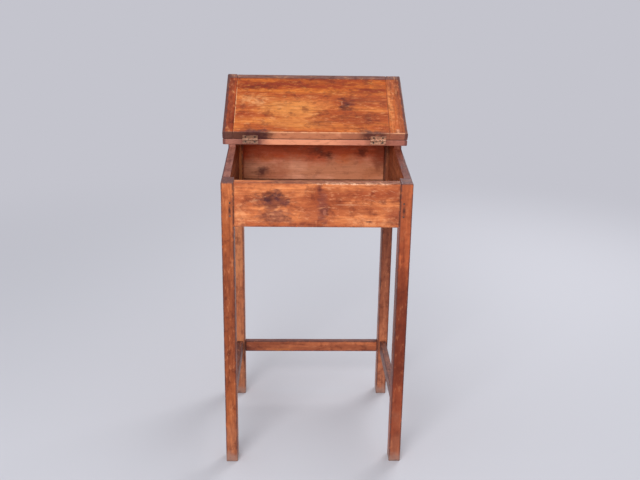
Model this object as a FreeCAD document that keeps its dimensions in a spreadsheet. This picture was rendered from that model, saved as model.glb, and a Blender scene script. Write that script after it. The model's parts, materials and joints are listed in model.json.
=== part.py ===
"""A school desk with a sloping, hinged lid: a small book compartment on four straight legs.

Lengths are in millimetres and angles in degrees. X runs to the right as seen from the front,
Y to the back and Z up. The desk stands on the floor at Z = 0, and the origin lies below the
middle of its width and reach. The lid is drawn open, tilted back over the fixed top board.
"""
import FreeCAD, Part
import os
import re
import Sketcher

doc = FreeCAD.newDocument("SchoolDesk")

SIZES = {
    # The frame as a whole
    "front_height": 750,
    "frame_width": 455,
    "frame_depth": 410,
    "top_slope": 7,
    # Legs
    "leg_width": 30,
    "leg_depth": 40,
    # Boards round the compartment, with the tenons that join them to the legs
    "apron_height": 108,
    "apron_thickness": 22,
    "side_thickness": 20,
    "back_thickness": 20,
    "tenon_length": 18,
    "tenon_thickness": 8,
    "tenon_shoulder": 14,
    "glue_gap": 0.1,
    # Low rails between the legs; the rear one sits lower than the side ones
    "stretcher_lift": 141,
    "stretcher_height": 33,
    "rear_stretcher_drop": 6,
    "stretcher_thickness": 18,
    "stretcher_tenon": 12,
    "stretcher_shoulder": 6,
    # Floor of the compartment
    "floor_thickness": 8,
    "floor_gap": 0.5,
    "batten_height": 12,
    "batten_width": 12,
    "batten_lift": 3,
    # Fixed top board and lid: the lid is the thicker, so the sides step down in front of the hinges
    "top_thickness": 15.5,
    "top_round": 6,
    "side_overhang": 14.5,
    "rear_overhang": 10,
    "hinge_depth": 252,
    "lid_depth": 263.5,
    "lid_thickness": 22.5,
    "lid_rise": 28,
    "lid_seat_gap": 0.3,
    "lid_round": 9,
    "cleat_left_width": 28,
    "cleat_left_proud": 2,
    "cleat_right_free_width": 41,
    "cleat_right_hinge_width": 49,
    "tongue_length": 9,
    "tongue_thickness": 7,
    "tongue_stop": 18,
    # Butt hinges, let into the two edges that face each other, placed from the boards' ends
    "hinge_left_inset": 72,
    "hinge_right_inset": 77,
    "hinge_gap": 2,
    "leaf_length": 40,
    "leaf_height": 12,
    "leaf_thickness": 1.2,
    "leaf_fit": 0.15,
    "knuckle_radius": 2.75,
    "knuckle_gap": 0.3,
    "barrel_room": 0.4,
    "pin_radius": 1.3,
    "pin_fit": 0.06,
    # Countersunk screws of the hinges
    "screw_spread": 24,
    "screw_drop": 7,
    "screw_length": 14,
    "screw_radius": 1.4,
    "screw_head_radius": 2.8,
    "screw_head_depth": 1.5,
    "screw_slot_width": 0.8,
    "screw_slot_depth": 0.6,
    # Nails: those through the fixed top, the floor, the battens and the legs' front faces
    "top_nail_length": 45,
    "top_nail_radius": 1.2,
    "top_nail_head_radius": 2.2,
    "floor_nail_length": 16,
    "batten_nail_length": 22,
    "small_nail_radius": 0.8,
    "small_nail_head_radius": 1.6,
    "apron_nail_length": 28,
    "nail_head_thickness": 1,
    # Overrun of a cut past the surface that it opens
    "overrun": 1,
}

PLACES = {
    "half_width": "frame_width / 2",
    "inner_leg": "half_width - leg_width",
    "rear_leg": "frame_depth - leg_depth",
    "box_low": "front_height - apron_height",
    "tenon_low": "box_low + tenon_shoulder",
    "tenon_high": "front_height - tenon_shoulder",
    "batten_low": "box_low + batten_lift",
    "floor_low": "batten_low + batten_height",
    "floor_high": "floor_low + floor_thickness",
    "stretcher_high": "stretcher_lift + stretcher_height",
    "rear_stretcher_low": "stretcher_lift - rear_stretcher_drop",
    "rear_stretcher_high": "stretcher_high - rear_stretcher_drop",
    "side_middle": "half_width - side_thickness / 2",
    "leg_middle": "half_width - leg_width / 2",
    "back_middle": "frame_depth - back_thickness / 2",
    "rear_leg_middle": "frame_depth - leg_depth / 2",
    "slope_rise": "tan(top_slope * 1deg)",
    "slope_run": "cos(top_slope * 1deg)",
    "slope_lean": "sin(top_slope * 1deg)",
    "hinge_edge": "hinge_gap / 2",
    "lid_seat": "lid_thickness + lid_seat_gap",
    "hinge_height": "front_height + hinge_depth * slope_rise + lid_seat / slope_run",
    "top_step": "(lid_seat - top_thickness) / slope_run",
    "step_foot": "hinge_depth + hinge_edge * slope_run + lid_seat * slope_lean",
    "step_head": "hinge_depth + hinge_edge * slope_run + top_thickness * slope_lean",
    "board_half": "half_width + side_overhang",
    "fixed_depth": "(frame_depth + rear_overhang - hinge_depth) / slope_run",
    "desk_reach": "hinge_depth + (lid_depth + cleat_left_proud) * cos(lid_rise * 1deg)",
}


def cells(formula):
    """Write a formula of plain size names with the spreadsheets' cells in it."""
    def cell(word):
        name = word.group()
        if name in SIZES:
            return "Sizes." + name
        if name in PLACES:
            return "Places." + name
        return name
    return re.sub(r"\w+", cell, formula)


def bind(thing, prop, formula):
    """Tie a property of an object to a formula of the sizes."""
    thing.setExpression(prop, cells(formula))


def fill_sheet(name, table):
    """Make a spreadsheet with one named cell for each entry of a table."""
    sheet = doc.addObject("Spreadsheet::Sheet", name)
    for row, (alias, content) in enumerate(table.items(), start=1):
        sheet.set(f"A{row}", alias)
        sheet.set(f"B{row}", content)
        sheet.setAlias(f"B{row}", alias)
    doc.recompute()
    return sheet


fill_sheet("Sizes", {name: str(value) for name, value in SIZES.items()})
places = fill_sheet("Places", {name: "=" + cells(text) for name, text in PLACES.items()})


def value(formula):
    """Work a formula out to a plain number."""
    return float(places.evalExpression(cells(formula)))


def frame(name, y, z, tilt):
    """A place to build in: a point of the middle plane, turned about X."""
    spot = doc.addObject("App::Placement", name)
    turn = f"rotation(vector(1; 0; 0); {tilt})"
    bind(spot, "Placement", f"placement(vector(0; {y}; {z}); {turn})")
    return spot


# The desk's frame is built from its front plane, and both top boards from the hinges' pin line:
# there Y runs up the slope to the back, and Z = 0 is the boards' upper face.
desk_frame = frame("desk_frame", "-desk_reach / 2", "0", "0")
top_frame = frame("top_frame", "hinge_depth - desk_reach / 2", "hinge_height", "top_slope")
lid_frame = frame("lid_frame", "hinge_depth - desk_reach / 2", "hinge_height", "lid_rise - 180")

pieces = []


def new_body(node, base):
    """Start a piece in one of the three frames."""
    body = doc.addObject("PartDesign::Body", node)
    body.Label = node
    bind(body, "Placement", base.Name + ".Placement")
    return body


def outline(body, name, role, points):
    """Draw a closed outline of straight lines on one of the body's own planes."""
    sketch = body.newObject("Sketcher::SketchObject", name)
    plane = next(each for each in body.Origin.OriginFeatures if each.Role == role)
    sketch.AttachmentSupport = [(plane, "")]
    sketch.MapMode = "FlatFace"
    spots = [FreeCAD.Vector(value(across), value(up), 0) for across, up in points]
    for number, spot in enumerate(spots):
        sketch.addGeometry(Part.LineSegment(spot, spots[(number + 1) % len(spots)]), False)
    for number, spot in enumerate(spots):
        before = (number - 1) % len(spots)
        sketch.addConstraint(Sketcher.Constraint("Coincident", before, 2, number, 1))
        for kind, formula, length in zip(("DistanceX", "DistanceY"), points[number], spot):
            index = sketch.addConstraint(Sketcher.Constraint(kind, -1, 1, number, 1, length))
            bind(sketch, f"Constraints[{index}]", formula)
    return sketch


def prism(body, name, role, points, low, high):
    """Pad an outline between two places along its plane's normal."""
    sketch = outline(body, name + "_outline", role, points)
    bind(sketch, "AttachmentOffset.Base.z", low)
    pad = body.newObject("PartDesign::Pad", name)
    pad.Profile = sketch
    bind(pad, "Length", f"{high} - ({low})")


def block(body, kind, name, spans, fit="0"):
    """Add or cut a box between two places along X, Y and Z, grown by a fit on every side."""
    box = body.newObject(kind, name)
    for side, axis, (low, high) in zip(("Length", "Width", "Height"), "xyz", spans):
        bind(box, side, f"{high} - ({low}) + 2 * {fit}")
        bind(box, "Placement.Base." + axis, f"{low} - {fit}")


def rod(body, kind, name, radius, low, high):
    """Add or cut a cylinder that lies on the pin line between two places along X."""
    cylinder = body.newObject(kind, name)
    bind(cylinder, "Radius", radius)
    bind(cylinder, "Height", f"{high} - ({low})")
    spot = f"placement(vector({low}; 0; 0); rotation(vector(0; 1; 0); 90))"
    bind(cylinder, "Placement", spot)


def round_over(body, radius, wanted):
    """Round the edges of a body whose middle points are wanted."""
    doc.recompute()
    solid = body.Tip
    edges = [f"Edge{number}" for number, edge in enumerate(solid.Shape.Edges, start=1)
             if wanted(edge.CenterOfMass)]
    fillet = body.newObject("PartDesign::Fillet", body.Name + "_round")
    fillet.Base = (solid, edges)
    bind(fillet, "Radius", radius)


def drilled(node, blank, fasteners):
    """Bore a blank wherever fasteners are driven through it, and keep it as a finished piece."""
    blank.Label = node + "_blank"
    for number, group in enumerate(fasteners, start=1):
        bored = doc.addObject("Part::Cut", f"{node}_bored_{number}")
        bored.Base = blank
        bored.Tool = group
        blank = bored
    blank.Label = node
    pieces.append(blank)


def mirrored(spans, side):
    """The same spans on the left of the middle plane, or as they are on the right."""
    low, high = spans[0]
    if side == "left":
        return ((f"-({high})", f"-({low})"), spans[1], spans[2])
    return spans


def on_slope(depth):
    """Height of the edge that the lid closes on, at a depth behind the front plane."""
    return f"(front_height + ({depth}) * slope_rise)"


def under_top(depth):
    """Height of the edge that carries the fixed top: a step above the lid's edge."""
    return f"({on_slope(depth)} + top_step)"


def centred(middle, thickness):
    """The span of a thickness about its middle."""
    return (f"{middle} - {thickness} / 2", f"{middle} + {thickness} / 2")


SIDES = ("left", "right")

# Tenons on the right-hand side, each written once for its rail and for the mortise that takes it
inside_leg = ("inner_leg", "inner_leg + tenon_length")
tenon_span = ("tenon_low", "tenon_high")
stretcher_tenon_span = ("stretcher_lift + stretcher_shoulder", "stretcher_high - stretcher_shoulder")
rear_tenon_span = ("rear_stretcher_low + stretcher_shoulder",
                   "rear_stretcher_high - stretcher_shoulder")
inside_leg_low = ("inner_leg", "inner_leg + stretcher_tenon")
into_front_leg = ("leg_depth - tenon_length", "leg_depth")
into_rear_leg = ("rear_leg", "rear_leg + tenon_length")
TENONS = {
    "apron": (inside_leg, centred("apron_thickness / 2", "tenon_thickness"), tenon_span),
    "back": (inside_leg, centred("back_middle", "tenon_thickness"), tenon_span),
    "side_front": (centred("side_middle", "tenon_thickness"), into_front_leg, tenon_span),
    "side_rear": (centred("side_middle", "tenon_thickness"), into_rear_leg, tenon_span),
    "stretcher_front": (
        centred("leg_middle", "tenon_thickness"),
        ("leg_depth - stretcher_tenon", "leg_depth"),
        stretcher_tenon_span,
    ),
    "stretcher_side_rear": (
        centred("leg_middle", "tenon_thickness"),
        ("rear_leg", "rear_leg + stretcher_tenon"),
        stretcher_tenon_span,
    ),
    "stretcher_back": (
        inside_leg_low,
        centred("rear_leg_middle", "tenon_thickness"),
        rear_tenon_span,
    ),
}


def add_tenon(body, name, side):
    """Add one of the tenons to a rail or board."""
    block(body, "PartDesign::AdditiveBox", f"{body.Name}_{name}_tenon_{side}",
          mirrored(TENONS[name], side))


def cut_mortise(body, name, side):
    """Cut the mortise of one of the tenons into a leg, larger by the glue gap."""
    block(body, "PartDesign::SubtractiveBox", f"{body.Name}_{name}_mortise",
          mirrored(TENONS[name], side), "glue_gap")


def driven(name, base, spot, turn, parts):
    """One nail or screw, its axis turned from Z to the way that it is driven."""
    fastener = doc.addObject("Part::MultiFuse", name)
    fastener.Shapes = parts
    x, y, z = spot
    local = f"placement(vector({x}; {y}; {z}); rotation(vector({turn[0]}); {turn[1]}))"
    bind(fastener, "Placement", f"{base.Name}.Placement * {local}")
    return fastener


def nail(name, base, spot, turn, length, radius, head_radius):
    """A nail with a flat head, driven flush."""
    shank = doc.addObject("Part::Cylinder", name + "_shank")
    bind(shank, "Radius", radius)
    bind(shank, "Height", length)
    head = doc.addObject("Part::Cylinder", name + "_head")
    bind(head, "Radius", head_radius)
    bind(head, "Height", "nail_head_thickness")
    return driven(name, base, spot, turn, [shank, head])


def screw(name, base, spot, turn):
    """A countersunk wood screw with a straight slot, its head flush with the leaf."""
    shank = doc.addObject("Part::Cylinder", name + "_shank")
    bind(shank, "Radius", "screw_radius")
    bind(shank, "Height", "screw_length")
    head = doc.addObject("Part::Cone", name + "_head")
    bind(head, "Radius1", "screw_head_radius")
    bind(head, "Radius2", "screw_radius")
    bind(head, "Height", "screw_head_depth")
    whole = driven(name, base, spot, turn, [shank, head])
    slot = doc.addObject("Part::Box", name + "_slot")
    bind(slot, "Length", "2 * screw_head_radius")
    bind(slot, "Width", "screw_slot_width")
    bind(slot, "Height", "screw_slot_depth + overrun")
    x, y, z = spot
    corner = "vector(-screw_head_radius; -screw_slot_width / 2; -overrun)"
    local = f"placement(vector({x}; {y}; {z}); rotation(vector({turn[0]}); {turn[1]}))"
    shift = f"placement({corner}; rotation(vector(0; 0; 1); 0))"
    bind(slot, "Placement", f"{base.Name}.Placement * {local} * {shift}")
    slotted = doc.addObject("Part::Cut", name + "_slotted")
    slotted.Base = whole
    slotted.Tool = slot
    return whole, slotted


def group(node, solids, kept=True):
    """Gather like fasteners, as separate solids, in one compound."""
    gathered = doc.addObject("Part::Compound", node)
    gathered.Label = node
    gathered.Links = solids
    if kept:
        pieces.append(gathered)
    return gathered


# Ways to turn a fastener's axis from Z: down, to the front, to the back, and to either side
DOWN = ("1; 0; 0", "180")
FORWARD = ("1; 0; 0", "90")
BACKWARD = ("1; 0; 0", "-90")
OUTWARD = {"left": ("0; 1; 0", "-90"), "right": ("0; 1; 0", "90")}
SIGN = {"left": "-", "right": ""}


def make_top_nails():
    """Nails down through the fixed top into the side panels, the rear posts and the back."""
    side_nail_shares = (0.25, 0.6)
    back_nail_shares = (-0.5, 0, 0.5)
    spots = []
    for side in SIDES:
        for share in side_nail_shares:
            along = f"(rear_leg - hinge_depth) * {share} / slope_run"
            spots.append((SIGN[side] + "side_middle", along))
        spots.append((SIGN[side] + "leg_middle", "(rear_leg_middle - hinge_depth) / slope_run"))
    for share in back_nail_shares:
        spots.append((f"inner_leg * {share}", "(back_middle - hinge_depth) / slope_run"))
    nails = [
        nail(f"top_nail_{number}", top_frame, (x, y, "0"), DOWN,
             "top_nail_length", "top_nail_radius", "top_nail_head_radius")
        for number, (x, y) in enumerate(spots, start=1)
    ]
    return group("top_nails", nails)


def make_apron_nails():
    """Two nails through each front leg into the apron's tenon."""
    drop_shares = (0.45, 0.75)
    nails = []
    for side in SIDES:
        for share in drop_shares:
            x = f"{SIGN[side]}(inner_leg + tenon_length / 2)"
            spot = (x, "0", f"front_height - apron_height * {share}")
            nails.append(nail(f"apron_nail_{len(nails) + 1}", desk_frame, spot, BACKWARD,
                              "apron_nail_length", "top_nail_radius", "top_nail_head_radius"))
    return group("apron_nails", nails)


def make_floor_nails():
    """Small nails down through the compartment's floor into its battens."""
    across_shares = (-0.8, -0.3, 0.3, 0.8)
    along_shares = (0.15, 0.5, 0.85)
    spots = []
    for share in across_shares:
        spots.append((f"inner_leg * {share}", "apron_thickness + batten_width / 2"))
        spots.append((f"inner_leg * {share}", "frame_depth - back_thickness - batten_width / 2"))
    for side in SIDES:
        for share in along_shares:
            x = f"{SIGN[side]}(half_width - side_thickness - batten_width / 2)"
            spots.append((x, f"leg_depth + (rear_leg - leg_depth) * {share}"))
    nails = [
        nail(f"floor_nail_{number}", desk_frame, (x, y, "floor_high"), DOWN,
             "floor_nail_length", "small_nail_radius", "small_nail_head_radius")
        for number, (x, y) in enumerate(spots, start=1)
    ]
    return group("floor_nails", nails)


def make_batten_nails():
    """Small nails through the battens into the boards round the compartment."""
    across_shares = (-0.55, 0, 0.55)
    along_shares = (0.32, 0.68)
    height = "batten_low + batten_height / 2"
    drives = []
    for share in across_shares:
        x = f"inner_leg * {share}"
        drives.append(((x, "apron_thickness + batten_width", height), FORWARD))
        drives.append(((x, "frame_depth - back_thickness - batten_width", height), BACKWARD))
    for side in SIDES:
        for share in along_shares:
            x = f"{SIGN[side]}(half_width - side_thickness - batten_width)"
            y = f"leg_depth + (rear_leg - leg_depth) * {share}"
            drives.append(((x, y, height), OUTWARD[side]))
    nails = [
        nail(f"batten_nail_{number}", desk_frame, spot, turn,
             "batten_nail_length", "small_nail_radius", "small_nail_head_radius")
        for number, (spot, turn) in enumerate(drives, start=1)
    ]
    return group("batten_nails", nails)


# The middle of each hinge along the pin line
HINGES = {"left": "(hinge_left_inset - board_half)", "right": "(board_half - hinge_right_inset)"}


def make_hinge_screws(name, base, edge, turn):
    """Two screws in each leaf on one side: whole ones to bore with, and slotted ones to keep."""
    whole = []
    slotted = []
    for side, middle in HINGES.items():
        for number, sign in enumerate("-+", start=1):
            spot = (f"{middle} {sign} screw_spread / 2", edge, "-screw_drop")
            solid, finished = screw(f"{name}_{side}_{number}", base, spot, turn)
            whole.append(solid)
            slotted.append(finished)
    group(name, slotted)
    return group(name + "_bores", whole, kept=False)


top_nails = make_top_nails()
apron_nails = make_apron_nails()
floor_nails = make_floor_nails()
batten_nails = make_batten_nails()
fixed_bores = make_hinge_screws("hinge_screws_fixed", top_frame, "hinge_edge", BACKWARD)
lid_bores = make_hinge_screws("hinge_screws_lid", lid_frame, "-hinge_edge", FORWARD)


def make_front_leg(side):
    """A straight leg whose top is cut on the slope."""
    body = new_body(f"leg_front_{side}", desk_frame)
    profile = [("0", "0"), ("leg_depth", "0"), ("leg_depth", on_slope("leg_depth")),
               ("0", "front_height")]
    low, high = mirrored((("inner_leg", "half_width"), None, None), side)[0]
    prism(body, f"leg_front_{side}_stock", "YZ_Plane", profile, low, high)
    for name in ("apron", "side_front", "stretcher_front"):
        cut_mortise(body, name, side)
    drilled(f"leg_front_{side}", body, [apron_nails])


def make_rear_leg(side):
    """A taller leg that runs up as a post to the underside of the fixed top."""
    body = new_body(f"leg_rear_{side}", desk_frame)
    profile = [("rear_leg", "0"), ("frame_depth", "0"), ("frame_depth", under_top("frame_depth")),
               ("rear_leg", under_top("rear_leg"))]
    low, high = mirrored((("inner_leg", "half_width"), None, None), side)[0]
    prism(body, f"leg_rear_{side}_stock", "YZ_Plane", profile, low, high)
    for name in ("back", "side_rear", "stretcher_side_rear", "stretcher_back"):
        cut_mortise(body, name, side)
    drilled(f"leg_rear_{side}", body, [top_nails])


def make_front_apron():
    """The board between the front legs, bevelled along its top to the slope."""
    body = new_body("front_apron", desk_frame)
    profile = [("0", "box_low"), ("apron_thickness", "box_low"),
               ("apron_thickness", on_slope("apron_thickness")), ("0", "front_height")]
    prism(body, "front_apron_stock", "YZ_Plane", profile, "-inner_leg", "inner_leg")
    for side in SIDES:
        add_tenon(body, "apron", side)
    drilled("front_apron", body, [apron_nails, batten_nails])


def make_back_panel():
    """The board between the rear posts, up to the underside of the fixed top."""
    body = new_body("back_panel", desk_frame)
    front = "frame_depth - back_thickness"
    profile = [(front, "box_low"), ("frame_depth", "box_low"),
               ("frame_depth", under_top("frame_depth")), (front, under_top(front))]
    prism(body, "back_panel_stock", "YZ_Plane", profile, "-inner_leg", "inner_leg")
    for side in SIDES:
        add_tenon(body, "back", side)
    drilled("back_panel", body, [top_nails, batten_nails])


def make_side_panel(side):
    """A board between a front and a rear leg: its top edge slopes, with a step at the hinges."""
    body = new_body(f"side_panel_{side}", desk_frame)
    profile = [("leg_depth", "box_low"), ("rear_leg", "box_low"),
               ("rear_leg", under_top("rear_leg")), ("step_head", under_top("step_head")),
               ("step_foot", on_slope("step_foot")), ("leg_depth", on_slope("leg_depth"))]
    inner = "half_width - side_thickness"
    low, high = mirrored(((inner, "half_width"), None, None), side)[0]
    prism(body, f"side_panel_{side}_stock", "YZ_Plane", profile, low, high)
    for name in ("side_front", "side_rear"):
        add_tenon(body, name, side)
    drilled(f"side_panel_{side}", body, [top_nails, batten_nails])


def make_side_stretcher(side):
    """A low rail between a front and a rear leg, in the middle of their width."""
    body = new_body(f"stretcher_{side}", desk_frame)
    spans = (centred("leg_middle", "stretcher_thickness"), ("leg_depth", "rear_leg"),
             ("stretcher_lift", "stretcher_high"))
    block(body, "PartDesign::AdditiveBox", f"stretcher_{side}_stock", mirrored(spans, side))
    for name in ("stretcher_front", "stretcher_side_rear"):
        add_tenon(body, name, side)
    pieces.append(body)


def make_rear_stretcher():
    """The low rail between the rear legs."""
    body = new_body("stretcher_rear", desk_frame)
    spans = (("-inner_leg", "inner_leg"), centred("rear_leg_middle", "stretcher_thickness"),
             ("rear_stretcher_low", "rear_stretcher_high"))
    block(body, "PartDesign::AdditiveBox", "stretcher_rear_stock", spans)
    for side in SIDES:
        add_tenon(body, "stretcher_back", side)
    pieces.append(body)


def make_floor():
    """The compartment's floor, notched round the four legs, and the battens that carry it."""
    body = new_body("bottom_board", desk_frame)
    wide = "half_width - side_thickness - floor_gap"
    narrow = "inner_leg - floor_gap"
    levels = ("apron_thickness + floor_gap", "leg_depth + floor_gap", "rear_leg - floor_gap",
              "frame_depth - back_thickness - floor_gap")
    right = [(narrow, levels[0]), (narrow, levels[1]), (wide, levels[1]), (wide, levels[2]),
             (narrow, levels[2]), (narrow, levels[3])]
    left = [(f"-({x})", y) for x, y in reversed(right)]
    prism(body, "bottom_board_stock", "XY_Plane", right + left, "floor_low", "floor_high")
    drilled("bottom_board", body, [floor_nails])

    upright = ("batten_low", "floor_low")
    across = ("-inner_leg", "inner_leg")
    along = ("leg_depth", "rear_leg")
    beside = ("half_width - side_thickness - batten_width", "half_width - side_thickness")
    back = "frame_depth - back_thickness"
    battens = {
        "front": (across, ("apron_thickness", "apron_thickness + batten_width"), upright),
        "rear": (across, (back + " - batten_width", back), upright),
        "left": mirrored((beside, along, upright), "left"),
        "right": (beside, along, upright),
    }
    for place, spans in battens.items():
        body = new_body(f"batten_{place}", desk_frame)
        block(body, "PartDesign::AdditiveBox", f"batten_{place}_stock", spans)
        drilled(f"batten_{place}", body, [batten_nails, floor_nails])


def cut_hinge_seats(body, face):
    """Let both hinges into the edge of a top board: face is its sign along Y."""
    for side, middle in HINGES.items():
        ends = (f"{middle} - leaf_length / 2", f"{middle} + leaf_length / 2")
        depths = ("hinge_edge - overrun", "hinge_edge + leaf_thickness")
        if face == "-":
            depths = (f"-({depths[1]})", f"-({depths[0]})")
        heights = ("-leaf_height", "overrun")
        block(body, "PartDesign::SubtractiveBox", f"{body.Name}_leaf_seat_{side}",
              (ends, depths, heights), "leaf_fit")
        rod(body, "PartDesign::SubtractiveCylinder", f"{body.Name}_barrel_seat_{side}",
            "knuckle_radius + barrel_room", f"{ends[0]} - leaf_fit", f"{ends[1]} + leaf_fit")


# How near a worked-out point must lie to a surface to count as on it
SNAP = 1e-4


def make_fixed_top():
    """The narrow board behind the lid, rounded at its ends and along its back."""
    body = new_body("fixed_top", top_frame)
    spans = (("-board_half", "board_half"), ("hinge_edge", "fixed_depth"), ("-top_thickness", "0"))
    block(body, "PartDesign::AdditiveBox", "fixed_top_stock", spans)
    end, front, back = value("board_half"), value("hinge_edge"), value("fixed_depth")

    def is_rounded(middle):
        at_end = abs(abs(middle.x) - end) < SNAP and abs(middle.y - front) > SNAP
        return at_end or abs(middle.y - back) < SNAP

    round_over(body, "top_round", is_rounded)
    cut_hinge_seats(body, "+")
    drilled("fixed_top", body, [top_nails, fixed_bores])


def right_joint(depth):
    """Where the lid's right cleat begins, a depth in front of the pin line: it tapers."""
    taper = "(cleat_right_hinge_width - cleat_right_free_width)"
    return f"(board_half - cleat_right_hinge_width + {taper} * ({depth}) / lid_depth)"


def lid_outline(left, right, near, far):
    """An outline across the lid between two depths, with its ends given as functions of depth."""
    return [(left(near), f"-({near})"), (right(near), f"-({near})"),
            (right(far), f"-({far})"), (left(far), f"-({far})")]


def make_lid():
    """The lid: a panel with a tongue on each end, held flat by a grooved cleat at each end."""
    whole = ("-lid_thickness", "0")
    slot = centred("-lid_thickness / 2", "tongue_thickness")
    tongue_near, tongue_far = "(hinge_edge + tongue_stop)", "(lid_depth - tongue_stop)"
    left_joint = "(cleat_left_width - board_half)"
    free_edge = value("-lid_depth")
    proud_edge = value("-(lid_depth + cleat_left_proud)")
    hinge_edge, end = value("-hinge_edge"), value("board_half")
    tongue = lid_outline(lambda depth: left_joint + " - tongue_length",
                         lambda depth: right_joint(depth) + " + tongue_length",
                         tongue_near, tongue_far)
    groove = lid_outline(lambda depth: left_joint + " - tongue_length - glue_gap",
                         lambda depth: right_joint(depth) + " + tongue_length + glue_gap",
                         tongue_near + " - glue_gap", tongue_far + " + glue_gap")
    groove_span = (slot[0] + " - glue_gap", slot[1] + " + glue_gap")

    panel = new_body("lid_panel", lid_frame)
    board = lid_outline(lambda depth: left_joint, right_joint, "hinge_edge", "lid_depth")
    prism(panel, "lid_panel_stock", "XY_Plane", board, *whole)
    upright = value("-lid_thickness / 2")
    round_over(panel, "lid_round", lambda middle: abs(middle.y - free_edge) < SNAP
               and abs(middle.z - upright) > SNAP)
    prism(panel, "lid_panel_tongue", "XY_Plane", tongue, *slot)
    cut_hinge_seats(panel, "-")
    drilled("lid_panel", panel, [lid_bores])

    cleats = {
        "left": (lid_outline(lambda depth: "-board_half", lambda depth: left_joint,
                             "hinge_edge", "(lid_depth + cleat_left_proud)"), -end, proud_edge),
        "right": (lid_outline(right_joint, lambda depth: "board_half",
                              "hinge_edge", "lid_depth"), end, free_edge),
    }
    for side, (stock, outer, free) in cleats.items():
        cleat = new_body(f"lid_cleat_{side}", lid_frame)
        prism(cleat, f"lid_cleat_{side}_stock", "XY_Plane", stock, *whole)

        def is_rounded(middle):
            on_end = abs(middle.x - outer) < SNAP and abs(middle.y - hinge_edge) > SNAP
            on_free = abs(middle.y - free) < SNAP and abs(middle.z - upright) > SNAP
            return on_end or on_free

        round_over(cleat, "lid_round", is_rounded)
        sketch = outline(cleat, f"lid_cleat_{side}_groove_outline", "XY_Plane", groove)
        bind(sketch, "AttachmentOffset.Base.z", groove_span[0])
        cut = cleat.newObject("PartDesign::Pocket", f"lid_cleat_{side}_groove")
        cut.Profile = sketch
        cut.Reversed = True
        bind(cut, "Length", f"{groove_span[1]} - ({groove_span[0]})")
        pieces.append(cleat)


def make_leaf(side, name, base, face, own, other):
    """One leaf of a butt hinge: a plate let into the edge, with knuckles round the pin."""
    middle = HINGES[side]
    body = new_body(f"hinge_{side}_{name}_leaf", base)
    depths = ("hinge_edge", "hinge_edge + leaf_thickness")
    if face == "-":
        depths = (f"-({depths[1]})", f"-({depths[0]})")
    spans = (centred(middle, "leaf_length"), depths, ("-leaf_height", "0"))
    block(body, "PartDesign::AdditiveBox", f"{body.Name}_plate", spans)
    start = f"({middle} - leaf_length / 2)"
    pitch = f"leaf_length / {len(own) + len(other)}"
    for number in other:
        rod(body, "PartDesign::SubtractiveCylinder", f"{body.Name}_room_{number}",
            "knuckle_radius + knuckle_gap",
            f"({start} + {pitch} * {number})", f"({start} + {pitch} * {number + 1})")
    for number in own:
        rod(body, "PartDesign::AdditiveCylinder", f"{body.Name}_knuckle_{number}",
            "knuckle_radius",
            f"({start} + {pitch} * {number} + knuckle_gap / 2)",
            f"({start} + {pitch} * {number + 1} - knuckle_gap / 2)")
    rod(body, "PartDesign::SubtractiveCylinder", f"{body.Name}_bore", "pin_radius + pin_fit",
        f"({start} - overrun)", f"({start} + leaf_length + overrun)")
    return body


def make_hinges():
    """Two butt hinges, with three knuckles on the fixed leaf and two on the lid's leaf."""
    for side in SIDES:
        fixed = make_leaf(side, "fixed", top_frame, "+", (0, 2, 4), (1, 3))
        drilled(f"hinge_{side}_fixed_leaf", fixed, [fixed_bores])
        moving = make_leaf(side, "lid", lid_frame, "-", (1, 3), (0, 2, 4))
        drilled(f"hinge_{side}_lid_leaf", moving, [lid_bores])
        pin = new_body(f"hinge_{side}_pin", top_frame)
        start, finish = centred(HINGES[side], "leaf_length")
        rod(pin, "PartDesign::AdditiveCylinder", f"hinge_{side}_pin_rod", "pin_radius",
            start, f"({finish})")
        pieces.append(pin)


for hand in SIDES:
    make_front_leg(hand)
    make_rear_leg(hand)
    make_side_panel(hand)
    make_side_stretcher(hand)
make_front_apron()
make_back_panel()
make_rear_stretcher()
make_floor()
make_fixed_top()
make_lid()
make_hinges()
doc.recompute()

# Every object must be sound before any file is written
for each in doc.Objects:
    if "Invalid" in each.State or "Error" in each.State:
        raise RuntimeError(f"{each.Label} failed: {each.State}")
for piece in pieces:
    if piece.Shape.isNull() or not piece.Shape.isValid():
        raise RuntimeError(f"{piece.Label} has no valid shape")

os.makedirs("parts", exist_ok=True)
for piece in pieces:
    piece.Shape.exportStep(f"parts/{piece.Label}.step")
    print(piece.Label, len(piece.Shape.Solids), round(piece.Shape.Volume))
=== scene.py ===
"""An old school desk with a sloping, hinged lid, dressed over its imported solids.

Everything is in metres. X runs to the right as seen from the front, Y to the back and Z up.
"""
import bmesh
import bpy
import json
import math
from mathutils import Matrix, Vector, noise


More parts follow.
